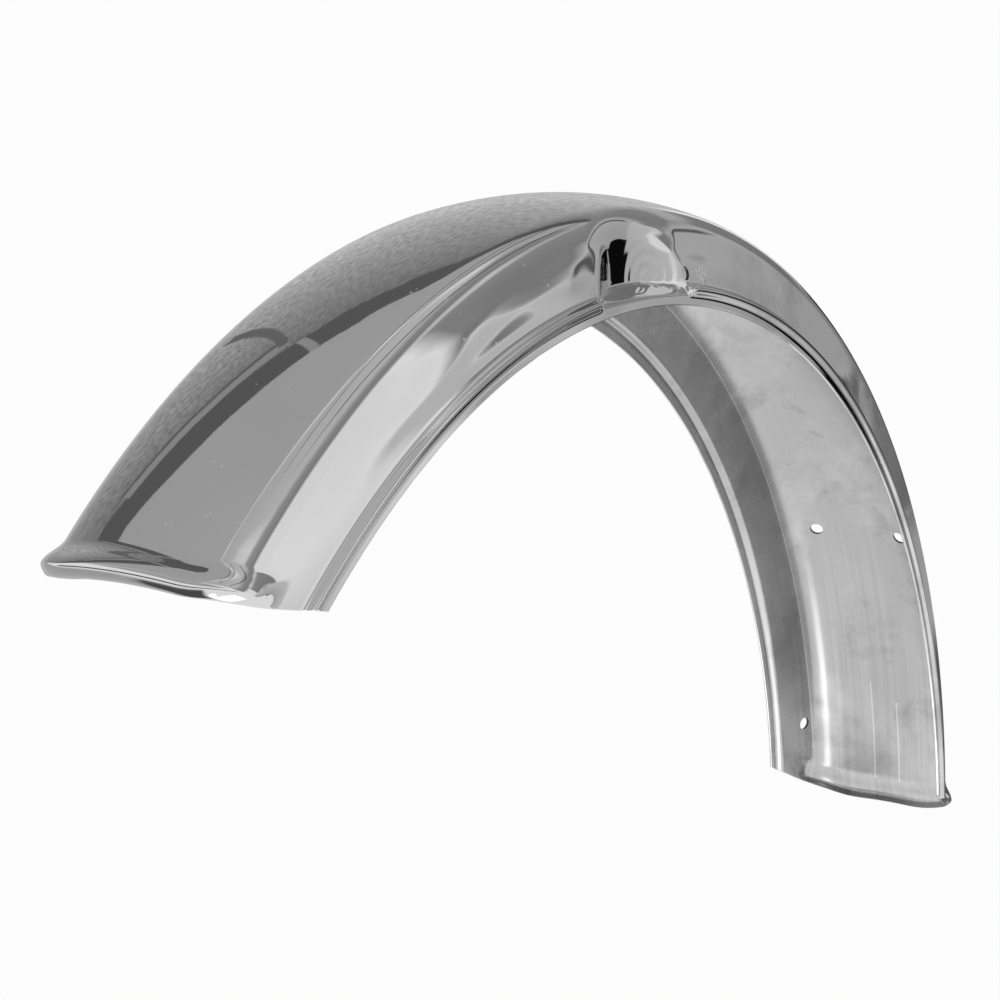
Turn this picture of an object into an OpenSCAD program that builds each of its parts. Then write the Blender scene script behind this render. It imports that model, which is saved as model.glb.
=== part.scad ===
// Front mudguard of a motorcycle: one pressed sheet of chromed steel, arched over the wheel.
// Its sides carry a bead beside the hem, both ends are turned up into a lip, and a dent on
// each side clears the fork leg.
// Frame: +X forwards, +Y to the rider's left, +Z up, with the guard as it sits on the machine.
// The origin is midway between the two fork bracket holes, on the line through their centres.

/* [Arch] */
// Radius of the crown's outside about the wheel's axle, at the middle of the guard
arch_r = 357; // [300:1:420]
// Angle of the fork legs behind the vertical, where the dents are
rake = 27; // [20:0.5:32]
// Angle of the arch in front of the fork legs, along its edges
front_angle = 41.6; // [30:0.1:60]
// Angle of the arch behind the fork legs, along its edges
rear_angle = 83; // [70:0.5:100]
// Length by which the crown reaches past the edges' ends at the front
front_reach = 26.6; // [10:0.2:40]
// Height above the edge up to which the front end slants
front_slant = 52; // [30:1:70]
// Length by which the crown reaches past the edges' ends at the rear
rear_reach = 27.8; // [10:0.2:40]
// Height above the edge up to which the rear end slants
rear_slant = 61; // [30:1:70]
// Thickness of the sheet
sheet_t = 1.2; // [0.8:0.1:2]

/* [Section] */
// Half-width of the crown, up to where the shoulders start
crown_half = 29.6; // [24:0.1:40]
// Radius of the crown across the guard
crown_r = 106; // [80:1:160]
// Radius of the shoulders across the guard
shoulder_r = 15; // [8:0.5:18]
// Angle at which the sides lean outwards
side_lean = 16; // [4:0.5:22]
// Height of a side along its slope, from the shoulder to the edge
side_l = 29; // [24:0.5:45]

/* [Bead] */
// Width of the bead along the side
bead_w = 6.6; // [4:0.1:10]
// Height of the bead above the side
bead_h = 2.4; // [1:0.1:4]
// Width of the flat hem between the bead and the edge
hem_w = 2.6; // [1.5:0.1:6]

/* [End lips] */
// Length of a lip along the arch
lip_l = 14.5; // [8:0.5:20]
// Length of the lip's turned-down nose
nose_l = 3.5; // [2:0.1:6]
// Height of the lip's crest above the crown
lip_h = 3.2; // [2:0.1:8]
// Height that the nose drops from the crest
nose_drop = 3.2; // [1:0.1:6]
// Distance from the edge of a side up to where the lip dies out
lip_end = 18; // [12:0.5:26]
// Distance over which the lip dies out
lip_fade = 12; // [4:0.5:20]

/* [Fork dents] */
// Radius of the dents, about a line along the fork leg
dent_r = 61; // [45:1:80]
// Distance from the guard's middle to the deepest line of a dent
dent_inset = 35.5; // [30:0.1:42]
// Size of the rounding on a dent's rim
dent_round = 2.4; // [1:0.1:8]
// Distance from the edge of a side up to the dent's floor
dent_floor = 9; // [6:0.1:14]
// Height of the step between the dent's floor and the hem
dent_step = 5.5; // [3:0.1:8]
// Half of the length without a bead below a dent
bead_gap = 33; // [20:0.5:45]
// Length over which the bead ends
bead_fade = 4; // [1:0.5:8]

/* [Holes] */
// Diameter of the fork bracket holes
bracket_hole_d = 5.5; // [4:0.1:9]
// Distance of the bracket holes behind the middle of the dents
bracket_back = 35.5; // [20:0.5:45]
// Distance of the bracket holes' line below the crown's outside
bracket_drop = 30; // [22:0.5:36]
// Diameter of the hole in the middle of the crown
crown_hole_d = 5.5; // [3:0.1:9]
// Angle of the crown's hole behind the fork legs
crown_hole_angle = 8.4; // [0:0.1:20]
// Diameter of the rear stay's two holes in the crown
stay_hole_d = 6.5; // [4:0.1:9]
// Distance between the rear stay's two holes
stay_hole_gap = 45.5; // [30:0.5:52]
// Angle of the rear stay's holes behind the fork legs
stay_angle = 61.2; // [50:0.1:65]
// Diameter of the hole near the end of each side
side_hole_d = 6.5; // [4:0.1:9]
// Distance of the side holes from the edges' rear end, along the crown
side_hole_in = 17.5; // [16:0.5:40]
// Distance of the side holes' line below the crown's outside
side_hole_drop = 16.5; // [12:0.5:30]

/* [Smoothness] */
// Faces across half of the crown
crown_faces = 3; // [2:1:6]
// Faces across a shoulder
shoulder_faces = 4; // [3:1:8]
// Faces up the plain part of a side
side_faces = 3; // [2:1:6]
// Faces across the bead
bead_faces = 4; // [4:2:8]
// Angle of arch that a face covers away from the dents and the ends
face_angle = 3; // [1.5:0.5:6]
// Faces along a dent
dent_faces = 20; // [16:2:30]
// Faces along a lip's rise, and again along its nose
lip_faces = 4; // [3:1:6]

/* [Hidden] */

hole_faces = 48;
// Turn of the section's surface where the shoulder starts, and down the side
crown_turn = asin(crown_half / crown_r);
side_turn = 90 - side_lean;
// Centre line of the shoulder, as distances from the middle and from the axle
shoulder_y = (crown_r - shoulder_r) * sin(crown_turn);
shoulder_z = arch_r - crown_r + (crown_r - shoulder_r) * cos(crown_turn);
side_y = shoulder_y + shoulder_r * sin(side_turn);
side_z = shoulder_z + shoulder_r * cos(side_turn);
plain_l = side_l - hem_w - bead_w;
// The arch's angles along its edges, which are counted from the fork legs, forwards
front_end = front_angle;
rear_end = -rear_angle;
lip_angle = arc_angle(lip_l);
nose_angle = arc_angle(nose_l);
// Half of the angle over which a dent, with its rounded rim, reaches out to the side's slope
dent_depth = side_y + side_l * sin(side_lean) - dent_inset + dent_round;
dent_reach = sqrt(dent_depth * (2 * dent_r - dent_depth));
dent_angle = asin(dent_reach / (side_z - side_l * cos(side_lean)));
// Places of the holes about the axle
bracket_r = arch_r - bracket_drop;
side_hole_r = arch_r - side_hole_drop;
bracket_angle = asin(-bracket_back / bracket_r);
side_hole_angle = rear_end + arc_angle(side_hole_in);

// Angle that a length along the crown covers
function arc_angle(l) = l / arch_r * 180 / PI;

// 0 up to start, 1 from start + length, and smooth between
function ease(v, start, length) =
    let (u = min(max((v - start) / length, 0), 1)) u * u * (3 - 2 * u);

// The smaller of a and b, with a rounded corner of size k where they cross
function soft_min(a, b, k) = min(a, b) - pow(max(k - abs(a - b), 0), 2) / (4 * k);

// One point of the half-section: distances from the middle and the axle, the surface's
// turn, the height above the edge along the side, and the share of the bead's height
function on_crown(turn) =
    [crown_r * sin(turn), arch_r - crown_r * (1 - cos(turn)), turn,
     side_l + (shoulder_r * (side_turn - crown_turn) + crown_r * (crown_turn - turn)) * PI / 180, 0];
function on_shoulder(turn) =
    [shoulder_y + shoulder_r * sin(turn), shoulder_z + shoulder_r * cos(turn), turn,
     side_l + shoulder_r * (side_turn - turn) * PI / 180, 0];
function on_side(d, bead) =
    [side_y + d * sin(side_lean), side_z - d * cos(side_lean), side_turn, side_l - d, bead];

half_section = concat(
    [for (i = [0 : crown_faces - 1]) on_crown(crown_turn * i / crown_faces)],
    [for (i = [0 : shoulder_faces])
        on_shoulder(crown_turn + (side_turn - crown_turn) * i / shoulder_faces)],
    [for (i = [1 : side_faces]) on_side(plain_l * i / side_faces, 0)],
    [for (i = [1 : bead_faces])
        on_side(plain_l + bead_w * i / bead_faces, (1 - cos(360 * i / bead_faces)) / 2)],
    [on_side(side_l, 0)]);
half_count = len(half_section);

// Height of the end lips above the sheet, at a distance in from the end
function lip_rise(inset) =
    inset >= nose_l
        ? lip_h * (1 - ease(inset, nose_l, lip_l - nose_l))
        : lip_h - nose_drop * (1 - sin(90 * inset / nose_l));

// Angle that the slanted ends add to a station along the arch, at a height above the edge
function slant(height, station) =
    station > dent_angle
        ? arc_angle(front_reach) * sin(90 * min(height / front_slant, 1))
            * min((station - dent_angle) / (front_end - lip_angle - dent_angle), 1)
        : station < -dent_angle
            ? -arc_angle(rear_reach) * sin(90 * min(height / rear_slant, 1))
                * min((station + dent_angle) / (rear_end + lip_angle + dent_angle), 1)
            : 0;

// Distance of a dent's surface from the guard's middle, x along the arch from the fork leg
function dent_wall(x) = dent_inset + dent_r - sqrt(max(dent_r * dent_r - x * x, 0));

// A point of the sheet. side is -1 or 1, and depth is 0 on the outside and 1 on the inside
function sheet_point(p, side, depth, station) =
    let (
        angle = station + slant(p[3], station),
        inset = min(front_end - station, station - rear_end) / 180 * PI * arch_r,
        lip = lip_rise(inset) * ease(p[3], lip_end, lip_fade),
        bead = bead_h * p[4] * ease(abs(p[1] * sin(angle)), bead_gap, bead_fade),
        out = lip + bead - depth * sheet_t,
        y = p[0] + out * sin(p[2]),
        z = p[1] + out * cos(p[2]),
        x = z * sin(angle),
        wall = dent_wall(x) - depth * sheet_t,
        share = ease(p[3], dent_floor - dent_step, dent_step),
        dented = y - share * (y - soft_min(y, wall, dent_round)),
        turned = angle - rake)
    [z * sin(turned), side * dented, z * cos(turned)];

// One skin's points at a station, from one edge to the other
function sheet_row(station, depth) = concat(
    [for (i = [half_count - 1 : -1 : 1]) sheet_point(half_section[i], -1, depth, station)],
    [for (i = [0 : half_count - 1]) sheet_point(half_section[i], 1, depth, station)]);

// Angles from a to b in n equal steps, without b itself
function steps(a, b, n) = [for (i = [0 : n - 1]) a + (b - a) * i / n];
function plain_steps(a, b) = steps(a, b, max(1, round((b - a) / face_angle)));

// Stations along the arch, as angles along its edges
stations = concat(
    steps(rear_end, rear_end + nose_angle, lip_faces),
    steps(rear_end + nose_angle, rear_end + lip_angle, lip_faces),
    plain_steps(rear_end + lip_angle, -dent_angle),
    steps(-dent_angle, dent_angle, dent_faces),
    plain_steps(dent_angle, front_end - lip_angle),
    steps(front_end - lip_angle, front_end - nose_angle, lip_faces),
    steps(front_end - nose_angle, front_end, lip_faces),
    [front_end]);

// Two triangles for the face with these corners
function face(a, b, c, d) = [[a, c, b], [a, d, c]];

// The bare sheet: an outside and an inside skin, joined along the hems and across both ends
module sheet() {
    across = 2 * half_count - 1;
    rows = len(stations);
    inside = across * rows;
    points = concat(
        [for (station = stations) each sheet_row(station, 0)],
        [for (station = stations) each sheet_row(station, 1)]);
    skins = [for (r = [0 : rows - 2], i = [0 : across - 2])
        let (p = r * across + i, q = p + across)
        each concat(
            face(p, q, q + 1, p + 1),
            face(inside + p, inside + p + 1, inside + q + 1, inside + q))];
    hems = [for (r = [0 : rows - 2], i = [0, across - 1])
        let (p = r * across + i, q = p + across)
        each i == 0
            ? face(p, inside + p, inside + q, q)
            : face(p, q, inside + q, inside + p)];
    ends = [for (r = [0, rows - 1], i = [0 : across - 2])
        let (p = r * across + i)
        each r == 0
            ? face(p, p + 1, inside + p + 1, inside + p)
            : face(p, inside + p, inside + p + 1, p + 1)];
    polyhedron(points, concat(skins, hems, ends), convexity = 6);
}

// Moves what is drawn about the axle, at the fork leg's angle, to its place in the frame
module about_axle(angle) {
    rotate([0, angle - rake, 0]) children();
}

// A drill along the radius at an angle, through the crown only
module crown_drill(angle, y, d) {
    depth = crown_r * (1 - cos(crown_turn)) + lip_h + 2 * sheet_t;
    about_axle(angle)
        translate([0, y, arch_r - depth])
            cylinder(h = depth + lip_h, d = d, $fn = hole_faces);
}

// A drill straight across the guard, through both sides
module side_drill(angle, r, d) {
    reach = side_y + side_l;
    about_axle(angle)
        translate([0, reach, r])
            rotate([90, 0, 0]) cylinder(h = 2 * reach, d = d, $fn = hole_faces);
}

module mudguard() {
    color("silver")
        translate([-bracket_r * sin(bracket_angle - rake), 0, -bracket_r * cos(bracket_angle - rake)])
            difference() {
                sheet();
                side_drill(bracket_angle, bracket_r, bracket_hole_d);
                side_drill(side_hole_angle, side_hole_r, side_hole_d);
                crown_drill(-crown_hole_angle, 0, crown_hole_d);
                for (side = [-1, 1])
                    crown_drill(-stay_angle, side * stay_hole_gap / 2, stay_hole_d);
            }
}

mudguard();
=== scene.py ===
import math

import bpy
import numpy as np
from mathutils import Matrix, Vector, noise

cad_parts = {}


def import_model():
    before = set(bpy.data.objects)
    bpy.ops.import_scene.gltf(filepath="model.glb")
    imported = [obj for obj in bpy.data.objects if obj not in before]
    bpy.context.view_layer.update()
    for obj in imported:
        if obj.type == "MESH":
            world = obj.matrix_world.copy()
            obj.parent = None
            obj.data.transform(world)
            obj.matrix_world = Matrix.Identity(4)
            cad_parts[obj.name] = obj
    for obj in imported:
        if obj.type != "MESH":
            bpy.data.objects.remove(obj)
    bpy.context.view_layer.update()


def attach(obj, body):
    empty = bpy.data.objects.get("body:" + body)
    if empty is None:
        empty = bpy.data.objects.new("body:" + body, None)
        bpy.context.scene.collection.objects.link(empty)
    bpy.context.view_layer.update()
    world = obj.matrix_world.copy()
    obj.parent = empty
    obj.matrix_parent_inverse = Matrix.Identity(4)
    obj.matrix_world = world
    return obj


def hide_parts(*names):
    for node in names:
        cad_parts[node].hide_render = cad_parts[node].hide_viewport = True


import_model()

MM = 0.001

# The arch, its section and its pressed details, in millimetres and degrees. The beads are 0.05 lower than
# in the part's source, which keeps them inside the box of its facets
ARCH_R, RAKE, FRONT_END, REAR_END, SHEET_T = 357.0, 27.0, 41.6, -83.0, 1.2
CROWN_HALF, CROWN_R, SHOULDER_R, SIDE_LEAN, SIDE_L = 29.6, 106.0, 15.0, 16.0, 29.0
BEAD_W, BEAD_H, HEM_W = 6.6, 2.35, 2.6
BEAD_GAP, BEAD_FADE = 33.0, 4.0
LIP_L, NOSE_L, LIP_H, NOSE_DROP, LIP_END, LIP_FADE = 14.5, 3.5, 3.2, 3.2, 18.0, 12.0
FRONT_REACH, FRONT_SLANT, REAR_REACH, REAR_SLANT = 26.6, 52.0, 27.8, 61.0
EDGE = 0.25

# The fork dents. Their rounding grows by TOP_ROUND above the distance TOP_S over the section
DENT_R, DENT_INSET, DENT_ROUND, DENT_FLOOR, DENT_STEP = 61.0, 35.5, 2.4, 9.0, 5.5
TOP_ROUND, TOP_S, TOP_FADE = 4.0, 45.0, 8.0

# The holes
BRACKET_D, BRACKET_BACK, BRACKET_R = 5.5, 35.5, 327.0
CROWN_HOLE_D, CROWN_HOLE_ANGLE = 5.5, -8.4
STAY_D, STAY_GAP, STAY_ANGLE = 6.5, 45.5, -61.2
SIDE_HOLE_D, SIDE_HOLE_IN, SIDE_HOLE_R = 6.5, 17.5, 340.5

# Slight bulges of the sides beside the dents: angle, distance over the section, their reaches and height
BULGES = ((19.0, 57.0, 9.0, 6.0, 0.6), (-11.5, 58.0, 5.0, 5.5, 0.8))
# Where over the section they start to fade before the bead, and over how much
BULGE_S, BULGE_FADE = 62.0, 5.0

# Shallow waves of the sides in front of the dents: length, width, height and place in the noise
WAVE_L, WAVE_W, WAVE_H, WAVE_PLACE = 59.0, 16.0, 1.7, 0.3
# They come and go over the section and along the arch, each given as a start and the reach of the change
WAVE_TOP, WAVE_FOOT = (43.0, 8.0), (56.0, 6.5)
WAVE_REAR, WAVE_FRONT = (5.0, 4.0), (24.0, 12.0)

CROWN_TURN = math.asin(CROWN_HALF / CROWN_R)
SIDE_TURN = math.radians(90 - SIDE_LEAN)
LEAN = math.radians(SIDE_LEAN)
SHOULDER_Y = (CROWN_R - SHOULDER_R) * math.sin(CROWN_TURN)
SHOULDER_Z = ARCH_R - CROWN_R + (CROWN_R - SHOULDER_R) * math.cos(CROWN_TURN)
SIDE_Y = SHOULDER_Y + SHOULDER_R * math.sin(SIDE_TURN)
SIDE_Z = SHOULDER_Z + SHOULDER_R * math.cos(SIDE_TURN)
CROWN_L = CROWN_R * CROWN_TURN
SHOULDER_L = SHOULDER_R * (SIDE_TURN - CROWN_TURN)
PLAIN_L = SIDE_L - HEM_W - BEAD_W
HALF_ROUND = SIDE_L + SHOULDER_L + CROWN_L
DENT_DEPTH = SIDE_Y + SIDE_L * math.sin(LEAN) - DENT_INSET + DENT_ROUND
DENT_REACH = math.sqrt(DENT_DEPTH * (2 * DENT_R - DENT_DEPTH))
DENT_ANGLE = math.degrees(math.asin(DENT_REACH / (SIDE_Z - SIDE_L * math.cos(LEAN))))
BRACKET_ANGLE = math.degrees(math.asin(-BRACKET_BACK / BRACKET_R))
SIDE_HOLE_ANGLE = REAR_END + math.degrees(SIDE_HOLE_IN / ARCH_R)

# The arch's centre, from the bracket holes that the row's frame starts at
BRACKET_TURN = math.radians(BRACKET_ANGLE - RAKE)
ORIGIN = np.array([-BRACKET_R * math.sin(BRACKET_TURN), 0, -BRACKET_R * math.cos(BRACKET_TURN)])


def to_row(points):
    """Points in the row's frame, in metres, from points about the arch's centre, in millimetres."""
    return (points + ORIGIN) * MM


def ease(v, start, length):
    """0 before start and 1 from length after it, with a smooth change between."""
    u = np.clip((v - start) / length, 0, 1)
    return u * u * (3 - 2 * u)


def soft_min(a, b, k):
    """The smaller of two values, rounded where they are less than k apart."""
    return np.minimum(a, b) - np.maximum(k - np.abs(a - b), 0) ** 2 / (4 * k)


def arc_angle(length):
    """The angle in degrees that a length takes along the crown."""
    return length / ARCH_R * 180 / math.pi


def arc_length(angle):
    """The length along the crown that an angle in degrees takes."""
    return angle * math.pi / 180 * ARCH_R


def section(s):
    """The half-section at distances s from the middle: y, radius, turn, height over the edge, bead share."""
    s = np.asarray(s, float)
    a = np.clip(s, 0, CROWN_L) / CROWN_R
    b = CROWN_TURN + np.clip(s - CROWN_L, 0, SHOULDER_L) / SHOULDER_R
    d = np.clip(s - CROWN_L - SHOULDER_L, 0, None)
    on_crown, on_side = s < CROWN_L, d > 0
    crown_y, crown_z = CROWN_R * np.sin(a), ARCH_R - CROWN_R * (1 - np.cos(a))
    lower_y = SHOULDER_Y + SHOULDER_R * np.sin(b) + d * math.sin(LEAN)
    lower_z = SHOULDER_Z + SHOULDER_R * np.cos(b) - d * math.cos(LEAN)
    y, z = np.where(on_crown, crown_y, lower_y), np.where(on_crown, crown_z, lower_z)
    turn = np.where(on_crown, a, np.where(on_side, SIDE_TURN, b))
    u = np.clip((d - PLAIN_L) / BEAD_W, 0, 1)
    return y, z, turn, HALF_ROUND - s, (1 - np.cos(2 * math.pi * u)) / 2


def lip_rise(inset):
    """The height of the end lips at distances in from the end, where the nose is rolled over."""
    nose = LIP_H - NOSE_DROP * (1 - np.sin(math.pi / 2 * np.clip(inset / NOSE_L, 0, 1)))
    return np.where(inset >= NOSE_L, LIP_H * (1 - ease(inset, NOSE_L, LIP_L - NOSE_L)), nose)


def slant(height, station):
    """The angle that the slanted ends add to a station along the arch."""
    front = arc_angle(np.sin(math.pi / 2 * np.clip(height / FRONT_SLANT, 0, 1)) * FRONT_REACH)
    rear = arc_angle(np.sin(math.pi / 2 * np.clip(height / REAR_SLANT, 0, 1)) * REAR_REACH)
    front_full, rear_full = FRONT_END - arc_angle(LIP_L), REAR_END + arc_angle(LIP_L)
    front = front * np.clip((station - DENT_ANGLE) / (front_full - DENT_ANGLE), 0, 1)
    return front - rear * np.clip((station + DENT_ANGLE) / (rear_full + DENT_ANGLE), 0, 1)


def bulge(s, angle):
    """How far the pressing has swollen the outside, in millimetres."""
    s = np.abs(s)
    total = 0.0
    for a, mid, reach_a, reach_s, height in BULGES:
        total = total + height * np.exp(-((angle - a) / reach_a) ** 2 - ((s - mid) / reach_s) ** 2)
    return total * (1 - ease(s, BULGE_S, BULGE_FADE))


def wave(s, angle):
    """How far the sides in front of the dents are uneven, in millimetres."""
    s = np.abs(s)
    share = ease(s, *WAVE_TOP) * (1 - ease(s, *WAVE_FOOT))
    share = share * ease(angle, *WAVE_REAR) * (1 - ease(angle, *WAVE_FRONT))
    along, over = np.radians(angle) * ARCH_R / WAVE_L, s / WAVE_W
    value = np.vectorize(lambda u, v: noise.noise(Vector((u, v, WAVE_PLACE))))(along, over)
    return WAVE_H * share * value


def sheet_points(s, station, depth):
    """Points of the sheet. s has the side as its sign, and depth is 0 on the outside and 1 on the inside."""
    side = np.sign(s)
    y, z, turn, height, bead_share = section(np.abs(s))
    angle = station + slant(height, station)
    a = np.radians(angle)
    inset = arc_length(np.minimum(FRONT_END - station, station - REAR_END))
    lip = lip_rise(inset) * ease(height, LIP_END, LIP_FADE)
    bead = BEAD_H * bead_share * ease(np.abs(z * np.sin(a)), BEAD_GAP, BEAD_FADE)
    out = lip + bead + bulge(s, angle) + wave(s, angle) - depth * SHEET_T
    y = y + out * np.sin(turn)
    z = z + out * np.cos(turn)
    x = z * np.sin(a)
    wall = DENT_INSET + DENT_R - np.sqrt(np.maximum(DENT_R ** 2 - x * x, 0)) - depth * SHEET_T
    share = ease(height, DENT_FLOOR - DENT_STEP, DENT_STEP)
    rounding = DENT_ROUND + TOP_ROUND * (1 - ease(np.abs(s), TOP_S, TOP_FADE))
    y = y - share * (y - soft_min(y, wall, rounding))
    t = a - math.radians(RAKE)
    return np.stack([z * np.sin(t), side * y, z * np.cos(t)], -1)


def on_outside(s, station):
    """The place in the row's frame of one point on the outside."""
    return tuple(to_row(sheet_points(np.array([s]), np.array([station]), 0.0))[0])


def new_object(name, data):
    made = bpy.data.objects.new(name, data)
    bpy.context.scene.collection.objects.link(made)
    return made


class Graph:
    """A short way to write a material's nodes."""

    def __init__(self, name):
        self.material = bpy.data.materials.new(name)
        self.material.use_nodes = True
        self.nodes = self.material.node_tree.nodes
        self.links = self.material.node_tree.links
        self.shader = self.nodes["Principled BSDF"]

    def put(self, value, socket):
        if isinstance(value, bpy.types.NodeSocket):
            self.links.new(value, socket)
        else:
            socket.default_value = value

    def add(self, kind, settings=None, **inputs):
        """A new node. An underscore in an input's name stands for a space."""
        node = self.nodes.new(kind)
        for key, value in (settings or {}).items():
            setattr(node, key, value)
        for key, value in inputs.items():
            self.put(value, node.inputs[key.replace("_", " ")])
        return node

    def fill(self, kind, values):
        """The first output of a new node, with its inputs filled in order."""
        node = self.nodes.new(kind)
        for k, value in enumerate(values):
            self.put(value, node.inputs[k])
        return node.outputs[0]

    def math(self, operation, *values):
        node = self.nodes.new("ShaderNodeMath")
        node.operation = operation
        for k, value in enumerate(values):
            self.put(value, node.inputs[k])
        return node.outputs[0]

    def plus(self, value, part, share):
        """A value with a share of another one added to it."""
        return self.math("ADD", value, self.math("MULTIPLY", part, share))

    def span(self, value, low, high, to_low=0.0, to_high=1.0):
        """A value's place between low and high, moved to the same place between to_low and to_high."""
        return self.fill("ShaderNodeMapRange", (value, low, high, to_low, to_high))

    def noise(self, vector, scale, detail=2.0, rough=0.5):
        node = self.add("ShaderNodeTexNoise", Vector=vector, Scale=scale, Detail=detail, Roughness=rough)
        return node.outputs[0]

    def grey(self, value):
        return self.fill("ShaderNodeCombineColor", (value, value, value))

    def stretched(self, vector, scale):
        return self.add("ShaderNodeMapping", Vector=vector, Scale=scale).outputs[0]

    def gap(self, place, spot):
        """The distance from a spot in the row's frame, in metres."""
        node = self.add("ShaderNodeVectorMath", {"operation": "DISTANCE"})
        self.put(place, node.inputs[0])
        node.inputs[1].default_value = spot
        return node.outputs["Value"]

    def bump(self, strength, depth, height, **under):
        node = self.add("ShaderNodeBump", Strength=strength, Distance=depth, Height=height, **under)
        return node.outputs[0]

    def shade(self, name, value):
        self.links.new(value, self.shader.inputs[name])

    def finish(self, shown):
        self.links.new(shown, self.nodes["Material Output"].inputs[0])


# Dull stains behind the dents: the stations where they start and are full, and the same over the section
STAIN_STATIONS, STAIN_OVER = (-9.0, -19.0), (0.034, 0.044)
# The worn spot behind the bracket hole: its place, how ragged it is, and the gaps at its edge and inside
WORN_SPOT, WORN_RAGGED, WORN_GAPS = on_outside(60.5, -8.5), 0.009, (0.0014, -0.0004)
# The rings in a dent: their middle and their waves in radians a metre
RING_SPOT, RING_WAVES = on_outside(63.3, -2.7), 1250.0
# Where they have faded and are full, by the gap from their middle and over the section
RING_GAPS, RING_OVER = (0.021, 0.006), (0.0665, 0.064)


def chrome_outside():
    """Bright chrome with a faint haze, rubbed streaks, pits, dull stains, a worn spot and rings in a dent."""
    g = Graph("chrome outside")
    coord = g.add("ShaderNodeTexCoord")
    place, flat = coord.outputs["Object"], coord.outputs["UV"]
    split = g.add("ShaderNodeSeparateXYZ", Vector=flat)
    over = g.math("ABSOLUTE", split.outputs[1])
    station = g.math("MULTIPLY", split.outputs[0], 180 / math.pi / (ARCH_R * MM))

    haze = g.span(g.noise(place, 22.0, 4.0), 0.35, 0.75)
    rubbed = g.span(g.noise(g.stretched(flat, (40.0, 900.0, 1.0)), 1.0, 3.0), 0.55, 0.8)
    cells = g.add("ShaderNodeTexVoronoi", Vector=place, Scale=260.0).outputs["Distance"]
    sparse = g.span(g.noise(place, 60.0, 2.0), 0.62, 0.66)
    pit = g.math("MULTIPLY", g.span(cells, 0.16, 0.08), sparse)
    blots = g.span(g.noise(place, 26.0, 5.0, 0.6), 0.44, 0.64)
    dull = g.math("MULTIPLY", g.span(station, *STAIN_STATIONS), blots)
    dull = g.math("MULTIPLY", dull, g.span(over, *STAIN_OVER))
    ragged = g.math("MULTIPLY", g.noise(place, 900.0, 4.0), WORN_RAGGED)
    worn = g.span(g.math("SUBTRACT", g.gap(place, WORN_SPOT), ragged), *WORN_GAPS)
    fleck = g.span(g.noise(place, 1500.0, 2.0), 0.35, 0.65, -0.16, 0.3)

    tone = g.plus(0.7, haze, -0.035)
    tone = g.plus(tone, pit, 0.2)
    tone = g.plus(tone, dull, -0.2)
    tone = g.plus(tone, worn, fleck)
    g.shader.inputs["Metallic"].default_value = 1.0
    g.shade("Base Color", g.grey(tone))

    rough = g.plus(0.022, haze, 0.03)
    rough = g.plus(rough, rubbed, 0.035)
    rough = g.plus(rough, worn, 0.45)
    rough = g.plus(rough, dull, 0.14)
    g.shade("Roughness", g.plus(rough, pit, 0.3))

    from_ring = g.gap(place, RING_SPOT)
    ring = g.math("SINE", g.math("MULTIPLY", from_ring, RING_WAVES))
    ring = g.math("MULTIPLY", ring, g.span(from_ring, *RING_GAPS))
    ring = g.math("MULTIPLY", ring, g.span(over, *RING_OVER))
    brushed = g.noise(g.stretched(flat, (60.0, 800.0, 1.0)), 1.0, 2.0)
    normal = g.bump(1.0, 0.00045, g.noise(place, 11.0, 2.0))
    normal = g.bump(1.0, 0.00006, ring, Normal=normal)
    g.shade("Normal", g.bump(0.35, 0.000006, brushed, Normal=normal))
    return g.material


# Long scratches inside: the stations of their ends, the distances over the section there, and their width
SCRATCHES = ((-72.5, -81.0, -6.2, -5.6, 0.55),
             (-74.0, -81.0, 8.2, 8.6, 0.7),
             (-25.0, -79.5, -44.4, -40.9, 0.5))
# A scratch is full within this share of its width
SCRATCH_CORE = 0.4
# Where along the arch, in metres from the dent, the wear of the rear end starts and is full
END_WEAR = (-0.34, -0.47)


def scratch(g, along, over, start, end, over_start, over_end, width):
    """1 on a thin line along the arch between two stations, that drifts across the sheet."""
    a, b = math.radians(start) * ARCH_R * MM, math.radians(end) * ARCH_R * MM
    middle = g.span(along, a, b, over_start * MM, over_end * MM)
    off = g.math("ABSOLUTE", g.math("SUBTRACT", over, middle))
    on = g.span(off, width * MM, width * SCRATCH_CORE * MM)
    after, before = g.math("GREATER_THAN", along, min(a, b)), g.math("LESS_THAN", along, max(a, b))
    return g.math("MULTIPLY", on, g.math("MULTIPLY", after, before))


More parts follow.
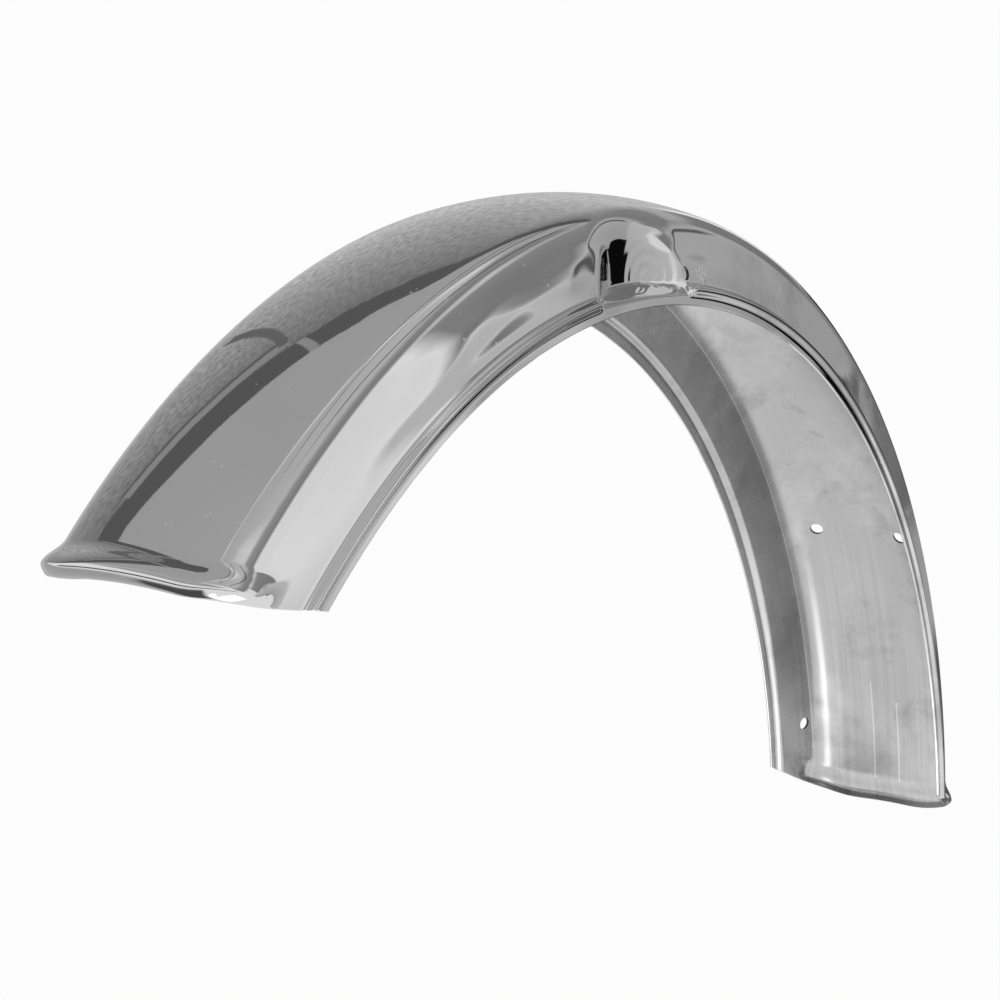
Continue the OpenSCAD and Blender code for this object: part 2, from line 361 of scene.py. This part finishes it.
def chrome_inside():
    """The dull inside, with stains, smudges, long scratches and streaks of wear that grow to the rear end."""
    g = Graph("chrome inside")
    coord = g.add("ShaderNodeTexCoord")
    place, flat = coord.outputs["Object"], coord.outputs["UV"]
    split = g.add("ShaderNodeSeparateXYZ", Vector=flat)
    along, over = split.outputs[0], split.outputs[1]

    stain = g.span(g.noise(place, 14.0, 6.0, 0.62), 0.42, 0.62)
    smudge = g.span(g.noise(place, 27.0, 7.0, 0.68), 0.53, 0.68)
    patches = g.span(g.noise(place, 38.0, 3.0), 0.52, 0.56)
    streaks = g.span(g.noise(g.stretched(flat, (6.0, 300.0, 1.0)), 1.0, 5.0, 0.6), 0.42, 0.72)
    low_end = g.plus(0.2, g.span(along, *END_WEAR), 0.8)
    marks = 0.0
    for line in SCRATCHES:
        marks = g.math("MAXIMUM", marks, scratch(g, along, over, *line))

    tone = g.plus(0.475, stain, 0.15)
    tone = g.plus(tone, smudge, -0.13)
    tone = g.plus(tone, patches, 0.012)
    tone = g.plus(tone, g.math("MULTIPLY", streaks, low_end), 0.1)
    tone = g.plus(tone, marks, 0.28)
    g.shader.inputs["Metallic"].default_value = 1.0
    g.shade("Base Color", g.grey(tone))

    rough = g.plus(0.24, stain, 0.1)
    g.shade("Roughness", g.plus(rough, marks, 0.12))

    normal = g.bump(0.5, 0.0004, g.noise(place, 16.0, 2.0))
    g.shade("Normal", g.bump(0.4, 0.00002, g.noise(place, 420.0, 3.0), Normal=normal))
    return g.material


def hole_wall_shade():
    """Bare steel with blotchy stains inside the drilled holes, nearly black as painted shade in the holes."""
    g = Graph("hole wall")
    place = g.add("ShaderNodeTexCoord").outputs["Object"]
    g.shader.inputs["Metallic"].default_value = 1.0
    g.shader.inputs["Roughness"].default_value = 0.5
    # The walls' nearly black grey is painted shade inside the holes, with blotches over it
    g.shade("Base Color", g.grey(g.span(g.noise(place, 900.0, 3.0), 0.3, 0.7, 0.04, 0.16)))
    return g.material


# The sheet's mesh is finer within these angles, in degrees, of a hole and of the middle of the dents
NEAR_HOLE, NEAR_DENT = 0.9, 11.5
# The point in the middle lies a hair to one side, so that it has a side
OFF_MIDDLE = 1e-9
# Edges that turn by more than this many degrees are shaded sharp
SHARP = 38


def spread(start, *spans):
    """Values from start over a run of spans, each given as its end and its step."""
    values = [start]
    for end, step in spans:
        n = max(1, math.ceil((end - values[-1]) / step - 1e-6))
        values += list(np.linspace(values[-1], end, n + 1)[1:])
    return np.array(values)


def mesh_lines():
    """The distances over the section and the stations that the sheet's mesh has its points at."""
    side_s = CROWN_L + SHOULDER_L
    half = spread(0.0, (20, 2.9), (26, 1.0), (CROWN_L, 2.0), (side_s, 1.4), (side_s + PLAIN_L, 1.0),
                  (side_s + PLAIN_L + BEAD_W, 0.44), (HALF_ROUND - EDGE, 0.8))
    over = np.concatenate([-half[:0:-1], [OFF_MIDDLE], half[1:]])
    lip, edge = arc_angle(LIP_L), arc_angle(EDGE)
    stations = spread(REAR_END + edge, (REAR_END + lip, 0.07),
                      (SIDE_HOLE_ANGLE - NEAR_HOLE, 0.6), (SIDE_HOLE_ANGLE + NEAR_HOLE, 0.2),
                      (STAY_ANGLE - NEAR_HOLE, 1.2), (STAY_ANGLE + NEAR_HOLE, 0.2),
                      (-NEAR_DENT, 1.2), (NEAR_DENT, 0.17),
                      (FRONT_END - lip, 0.8), (FRONT_END - edge, 0.07))
    return over, stations


def sheet_faces(rows, cols, ring):
    """The faces of the outside, the inside and the rim between them, and the material index of each."""
    n, m = rows * cols, len(ring)
    faces, materials = [], []
    for layer in range(2):
        for r in range(rows - 1):
            for c in range(cols - 1):
                p = layer * n + r * cols + c
                q = p + cols
                faces.append((p, q, q + 1, p + 1) if layer else (p, p + 1, q + 1, q))
                materials.append(layer)
    out_ring = [r * cols + c for r, c in ring]
    bands = [[2 * n + k * m + i for i in range(m)] for k in range(2)]
    loops = [out_ring, *bands, [n + i for i in out_ring]]
    for a, b in zip(loops, loops[1:]):
        for i in range(m):
            j = (i + 1) % m
            faces.append((a[j], a[i], b[i], b[j]))
            materials.append(0)
    return faces, materials


def sheet():
    """The whole sheet as one closed mesh, with metres along the arch and over the section as its UV."""
    over_lines, station_lines = mesh_lines()
    grid_s, grid_a = np.meshgrid(over_lines, station_lines)
    rows, cols = grid_s.shape
    ring = [(0, c) for c in range(cols)] + [(r, cols - 1) for r in range(1, rows)]
    ring += [(rows - 1, c) for c in range(cols - 2, -1, -1)] + [(r, 0) for r in range(rows - 2, 0, -1)]
    hems, ends = {0: -HALF_ROUND, cols - 1: HALF_ROUND}, {0: REAR_END, rows - 1: FRONT_END}
    rim_s = np.array([hems.get(c, over_lines[c]) for r, c in ring])
    rim_a = np.array([ends.get(r, station_lines[r]) for r, c in ring])
    layers = [sheet_points(grid_s, grid_a, depth).reshape(-1, 3) for depth in (0.0, 1.0)]
    bands = [sheet_points(rim_s, rim_a, depth) for depth in (EDGE / SHEET_T, 1 - EDGE / SHEET_T)]
    faces, materials = sheet_faces(rows, cols, ring)
    mesh = bpy.data.meshes.new("sheet")
    mesh.from_pydata([tuple(v) for v in to_row(np.concatenate(layers + bands))], [], faces)
    mesh.materials.append(chrome_outside())
    mesh.materials.append(chrome_inside())
    along = arc_length(np.concatenate([grid_a.ravel(), grid_a.ravel(), rim_a, rim_a])) * MM
    over = np.concatenate([grid_s.ravel(), grid_s.ravel(), rim_s, rim_s]) * MM
    uv = mesh.uv_layers.new(name="sheet_uv")
    index = np.empty(len(mesh.loops), np.int32)
    mesh.loops.foreach_get("vertex_index", index)
    uv.data.foreach_set("uv", np.stack([along[index], over[index]], -1).astype(np.float32).ravel())
    mesh.polygons.foreach_set("material_index", np.array(materials, np.int32))
    mesh.update()
    return new_object("sheet", mesh)


# The drills that cut the holes: sides, length through the crown and how far under its top they are centred
DRILL_SIDES, CROWN_DRILL_L, CROWN_DRILL_IN = 64, 24.0, 2.0
# The length of a drill that goes through both sides
SIDE_DRILL_L = 120.0


def drill(place, axis, d, length):
    """A closed cylinder centred on a place, in the row's frame, to cut a hole with."""
    axis = Vector(axis).normalized()
    side = axis.orthogonal().normalized()
    other = axis.cross(side)
    n = DRILL_SIDES
    turns = [2 * math.pi * k / n for k in range(n)]
    ring = [side * (d / 2 * MM * math.cos(t)) + other * (d / 2 * MM * math.sin(t)) for t in turns]
    reach = axis * (length / 2 * MM)
    points = [Vector(place) - reach + v for v in ring] + [Vector(place) + reach + v for v in ring]
    faces = [tuple(range(n - 1, -1, -1)), tuple(range(n, 2 * n))]
    faces += [(k, (k + 1) % n, n + (k + 1) % n, n + k) for k in range(n)]
    return points, faces


def crown_drill(angle, y, d):
    t = math.radians(angle - RAKE)
    axis = (math.sin(t), 0, math.cos(t))
    r = ARCH_R - CROWN_DRILL_IN
    return drill(to_row(np.array([r * axis[0], y, r * axis[2]])), axis, d, CROWN_DRILL_L)


def side_drill(angle, r, d):
    t = math.radians(angle - RAKE)
    return drill(to_row(np.array([r * math.sin(t), 0, r * math.cos(t)])), (0, 1, 0), d, SIDE_DRILL_L)


def hole_drills():
    """One object with every drill in it."""
    drills = [crown_drill(CROWN_HOLE_ANGLE, 0, CROWN_HOLE_D),
              crown_drill(STAY_ANGLE, STAY_GAP / 2, STAY_D),
              crown_drill(STAY_ANGLE, -STAY_GAP / 2, STAY_D),
              side_drill(BRACKET_ANGLE, BRACKET_R, BRACKET_D),
              side_drill(SIDE_HOLE_ANGLE, SIDE_HOLE_R, SIDE_HOLE_D)]
    points, faces = [], []
    for drill_points, drill_faces in drills:
        faces += [tuple(i + len(points) for i in face) for face in drill_faces]
        points += drill_points
    mesh = bpy.data.meshes.new("drills")
    mesh.from_pydata([tuple(v) for v in points], [], faces)
    mesh.materials.append(hole_wall_shade())
    return new_object("drills", mesh)


def cut_holes(piece):
    cutter = hole_drills()
    cut = piece.modifiers.new("holes", "BOOLEAN")
    cut.operation = "DIFFERENCE"
    cut.solver = "EXACT"
    cut.material_mode = "TRANSFER"
    cut.object = cutter
    bpy.context.view_layer.update()
    done = bpy.data.meshes.new_from_object(piece.evaluated_get(bpy.context.evaluated_depsgraph_get()))
    piece.modifiers.clear()
    piece.data = done
    bpy.data.objects.remove(cutter)


def mudguard():
    piece = sheet()
    cut_holes(piece)
    piece.data.polygons.foreach_set("use_smooth", np.ones(len(piece.data.polygons), bool))
    piece.data.set_sharp_from_angle(angle=math.radians(SHARP))
    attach(piece, "root")
    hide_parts("mudguard")


# The camera fitted to the photograph, in metres: its place, the directions of its right and up, and its lens
CAMERA_AT = (0.71997, 0.49587, 0.45915)
CAMERA_RIGHT, CAMERA_UP = (-0.47681, 0.84477, -0.24295), (-0.58067, -0.09522, 0.80855)
CAMERA_LENS, CAMERA_SENSOR, CAMERA_REACH = 87.16, 36.0, 50.0

# The floor: its height and half-width in metres, its grey, and how far it glows white where it is seen
FLOOR_Z, FLOOR_HALF, FLOOR_GREY, FLOOR_GLOW = -0.85, 8.0, 0.9, 0.8


def camera():
    data = bpy.data.cameras.new("camera")
    cam = new_object("camera", data)
    right, up = Vector(CAMERA_RIGHT), Vector(CAMERA_UP)
    back = right.cross(up).normalized()
    up = back.cross(right).normalized()
    turn = Matrix((right.normalized(), up, back)).transposed().to_4x4()
    cam.matrix_world = Matrix.Translation(CAMERA_AT) @ turn
    data.sensor_width = CAMERA_SENSOR
    data.lens = CAMERA_LENS
    data.clip_end = CAMERA_REACH
    bpy.context.scene.camera = cam


def world():
    w = bpy.data.worlds.new("world")
    bpy.context.scene.world = w
    w.use_nodes = True
    w.node_tree.nodes["Background"].inputs[0].default_value = (1, 1, 1, 1)
    w.node_tree.nodes["Background"].inputs[1].default_value = 1.0


def floor():
    """A pale floor that keeps the shadow, and shows nearly white to the camera and in what reflects it."""
    mesh = bpy.data.meshes.new("floor")
    h = FLOOR_HALF
    corners = [(-h, -h, FLOOR_Z), (h, -h, FLOOR_Z), (h, h, FLOOR_Z), (-h, h, FLOOR_Z)]
    mesh.from_pydata(corners, [], [(0, 1, 2, 3)])
    ground = new_object("floor", mesh)
    g = Graph("floor")
    g.shader.inputs["Base Color"].default_value = (FLOOR_GREY, FLOOR_GREY, FLOOR_GREY, 1)
    g.shader.inputs["Roughness"].default_value = 0.9
    g.shader.inputs["Specular IOR Level"].default_value = 0.0
    glow = g.add("ShaderNodeEmission", Strength=1.0).outputs[0]
    path = g.add("ShaderNodeLightPath").outputs
    mirrored = g.math("MAXIMUM", path["Is Glossy Ray"], path["Is Transmission Ray"])
    seen = g.math("MAXIMUM", path["Is Camera Ray"], mirrored)
    share = g.math("MULTIPLY", seen, FLOOR_GLOW)
    g.finish(g.fill("ShaderNodeMixShader", (share, g.shader.outputs[0], glow)))
    mesh.materials.append(g.material)


# The studio cards that the chrome reflects. Each lies on a ball of some radius in metres around a centre,
# which is the room's, or the part of the guard that it is there for
ROOM, ROOM_R = Vector((0.04, 0.0, -0.16)), 5.0
BY_DENT, BY_REAR = Vector((0.0, 0.04, -0.02)), Vector((-0.12, 0.04, -0.08))
BY_LIP = Vector((0.295, 0.0, 0.06))
BY_INNER_SIDE, BY_INNER_CROWN = Vector((-0.2, -0.05, -0.25)), Vector((-0.2, 0.0, -0.35))
# A card's mesh, the scale of its grain over its width and height, and the grain's low and high ends
CARD_COLS, CARD_ROWS, GRAIN_SCALE, GRAIN_ENDS = 24, 12, (190, 30, 1), (0.3, 0.7)


def direction(azimuth, elevation):
    a, e = math.radians(azimuth), math.radians(elevation)
    return Vector((math.sin(a) * math.cos(e), -math.cos(a) * math.cos(e), math.sin(e)))


def card_material(name, low, high, grained, soft):
    """A glow from low at the bottom edge to high at the top, with a grain of that strength and soft edges."""
    g = Graph(name)
    g.nodes.remove(g.shader)
    flat = g.add("ShaderNodeTexCoord").outputs["UV"]
    split = g.add("ShaderNodeSeparateXYZ", Vector=flat)
    level = g.span(split.outputs[1], 0.0, 1.0, low, high)
    if grained:
        grain = g.noise(g.stretched(flat, GRAIN_SCALE), 1.0, 8.0)
        level = g.math("MULTIPLY", level, g.span(grain, *GRAIN_ENDS, 1 - grained, 1 + grained))
    shown = g.add("ShaderNodeEmission", Strength=level).outputs[0]
    if soft:
        cover = 1.0
        for k in range(2):
            v = split.outputs[k]
            edge = g.math("MINIMUM", v, g.math("SUBTRACT", 1.0, v))
            cover = g.math("MULTIPLY", cover, g.span(edge, 0.0, soft[k]))
        clear = g.add("ShaderNodeBsdfTransparent").outputs[0]
        shown = g.fill("ShaderNodeMixShader", (cover, clear, shown))
    g.finish(shown)
    return g.material


def card(name, lower, upper, low, high=None, grained=0.0, distance=ROOM_R, centre=ROOM, soft=None):
    """A card between a lower and an upper edge, each a run of azimuths and elevations from the centre.
    soft gives the shares of its width and height over which it fades at each edge."""
    n = CARD_COLS

    def run(edge):
        where, t = np.linspace(0, 1, len(edge)), np.linspace(0, 1, n + 1)
        azimuths, elevations = zip(*edge)
        return list(zip(np.interp(t, where, azimuths), np.interp(t, where, elevations)))

    pairs = list(zip(run(lower), run(upper)))
    points, uvs = [], []
    for j in range(CARD_ROWS + 1):
        t = j / CARD_ROWS
        for i, ((a0, e0), (a1, e1)) in enumerate(pairs):
            points.append(centre + direction(a0 + (a1 - a0) * t, e0 + (e1 - e0) * t) * distance)
            uvs.append((i / n, t))
    corners = [j * (n + 1) + i for j in range(CARD_ROWS) for i in range(n)]
    mesh = bpy.data.meshes.new(name)
    mesh.from_pydata(points, [], [(p, p + 1, p + n + 2, p + n + 1) for p in corners])
    layer = mesh.uv_layers.new(name="card_uv")
    for loop in mesh.loops:
        layer.data[loop.index].uv = uvs[loop.vertex_index]
    mesh.materials.append(card_material(name, low, low if high is None else high, grained, soft))
    panel = new_object(name, mesh)
    panel.visible_camera = False
    panel.visible_diffuse = False
    panel.visible_shadow = False


def patch(name, azimuths, elevations, low, high=None, **rest):
    """A card between two azimuths and two elevations."""
    lower, upper = [[(azimuth, elevation) for azimuth in azimuths] for elevation in elevations]
    card(name, lower, upper, low, high, **rest)


def crown_cards():
    """What the crown reflects: a grained floor edge, a dark strip and a plain wall over it, and a post."""
    turns = (-96, -88, -80, -70, -60, -50, -40, -28, -12, 5)
    ground = list(zip(turns, (-10, -10) + (-12,) * 8))
    dark_low = list(zip(turns, (6, 12, 17, 27, 33, 36, 36, 35.6, 31, 24)))
    dark_high = list(zip(turns, (10, 18, 26, 34, 40.5, 43.2, 45, 45.2, 41, 34)))
    top = [(turn, 88) for turn in turns]
    card("grained", ground, dark_low, 0.62, 0.22, grained=0.3)
    card("dark strip", dark_low, dark_high, 0.12)
    card("wall", dark_high, top, 0.44, 0.47)
    between = [(-46, 32.6), (-34, 33.4), (-20, 31.4)]
    stripes = dict(distance=ROOM_R - 0.1)
    card("pale stripe", between, [(-46.5, 35.0), (-34, 36.2), (-20, 34.6)], 0.32, **stripes)
    card("thin stripe", [(-45.5, 31.2), (-34, 32.0), (-20, 30.0)], between, 0.15, **stripes)
    posts = dict(distance=ROOM_R - 0.2)
    card("post", [(-49.2, 36), (-47.6, 36)], [(-54.5, 42.6), (-52.4, 42.6)], 0.33, **posts)
    card("post foot", [(-38.6, 10), (-37.2, 10)], [(-46.2, 34), (-44.6, 34)], 0.16, **posts)
    patch("grained near", (-74, 8), (-37, 5), 0.42, 0.6, grained=0.3, distance=1.05, soft=(0.05, 0.1))
    patch("wall end", (-100, -94), (8, 88), 0.46, soft=(0.5, 0.02))


def left_cards():
    """What the near shoulder and side reflect."""
    card("left wall", [(-168, 36), (-96, 24)], [(-168, 88), (-96, 88)], 0.62, 0.5, soft=(0.16, 0.12))
    card("left band", [(-168, 16), (-140, 18), (-118, 18), (-96, 8)],
         [(-168, 42), (-140, 44), (-118, 42), (-96, 26)], 0.24, 0.42, soft=(0.05, 0.2))
    patch("left bright", (-166, -138), (-6, 20), 0.92, soft=(0.1, 0.15))
    card("left low", [(-140, -13), (-112, -13), (-92, -13)],
         [(-136, 22), (-112, 20), (-92, 12)], 0.22, 0.34, soft=(0.08, 0.2))
    lines = ((2.4, [(-150, 50), (-130, 42.5), (-115, 31), (-100, 17), (-94, 9)]),
             (1.6, [(-143, 66), (-125, 60), (-110, 52), (-100, 38.5), (-90, 18), (-86, 9)]),
             (1.2, [(-112, 62), (-98, 50), (-90, 33), (-83, 12)]))
    line_step = 1.2
    for k, (width, line) in enumerate(lines):
        upper = [(azimuth + line_step, elevation + width) for azimuth, elevation in line]
        card("line %d" % k, line, upper, 0.1, distance=ROOM_R - 0.4, soft=(0.2, 0.4))
    card("left floor", [(-178, -36), (-132, -36)], [(-178, -3), (-126, -5)], 0.45, 0.66,
         soft=(0.05, 0.1), distance=0.8, centre=BY_DENT)


def rear_cards():
    """What the rear panel of the near side reflects. Where cards overlap, the nearer one hides the other."""
    rear = dict(centre=BY_REAR)
    patch("rear floor", (-140, -84), (-36, 2), 0.36, 0.56, distance=0.95, soft=(0.1, 0.2), **rear)
    card("rear foot", [(-98, -42), (-78, -42)], [(-98, -20), (-78, -21)], 0.16, 0.3,
         distance=0.94, soft=(0.2, 0.1), **rear)
    patch("rear base", (-104, -66), (-50, -40), 0.44, 0.34, distance=0.955, soft=(0.1, 0.05), **rear)
    card("rear edge", [(-84, -42), (-56, -42)], [(-84, -21), (-56, -24)], 0.06,
         distance=0.93, soft=(0.06, 0.1), **rear)
    patch("rear low", (-98, -72), (-24, 0), 0.2, 0.26, distance=0.92, soft=(0.1, 0.15), **rear)


def foot_cards():
    """What the beads, the inside of the far side and the dent reflect from low down, and a streak."""
    patch("bead foot", (-134, -56), (-62, -37), 0.25, 0.08, distance=0.74, soft=(0.1, 0.1))
    patch("inner foot", (-178, -122), (-50, -26), 0.85, 0.08,
          distance=0.55, centre=BY_INNER_SIDE, soft=(0.1, 0.12))
    card("dark foot", [(-137, -46), (-120, -45), (-104, -44), (-96, -44)],
         [(-137, -21), (-120, -22.5), (-105, -24.5), (-96, -30)], 0.004,
         distance=0.9, centre=BY_DENT, soft=(0.03, 0.03))
    card("streak", [(-130, -9), (-100, -10)], [(-130, -5), (-100, -5)], 0.12,
         distance=0.91, centre=BY_REAR, soft=(0.2, 0.35))


def lip_cards():
    """What the nose of the front lip reflects."""
    lip = dict(centre=BY_LIP)
    card("lip shade", [(50, -56), (104, -56)], [(50, 6), (104, 8)], 0.09,
         distance=0.6, soft=(0.15, 0.12), **lip)
    patch("lip floor", (-10, 57), (-60, 8), 0.7, 0.4, distance=0.62, soft=(0.1, 0.1), **lip)
    patch("lamp", (105, 114), (-33, -16), 1.9, distance=0.6, **lip)


def right_cards():
    """What the inside of the rear end and the far shoulder reflect."""
    patch("inner lamp", (95, 122), (-28, 8), 2.3, distance=1.0, centre=BY_INNER_CROWN, soft=(0.2, 0.3))
    patch("right wall", (6, 176), (38, 88), 0.42, 0.5, soft=(0.05, 0.1))
    card("right strip", [(20, 10), (90, 14), (176, 12)], [(20, 17), (90, 22), (176, 19)], 0.12,
         soft=(0.04, 0.1))


mudguard()
camera()
world()
floor()
crown_cards()
left_cards()
rear_cards()
foot_cards()
lip_cards()
right_cards()
bpy.context.scene.view_settings.view_transform = "Standard"
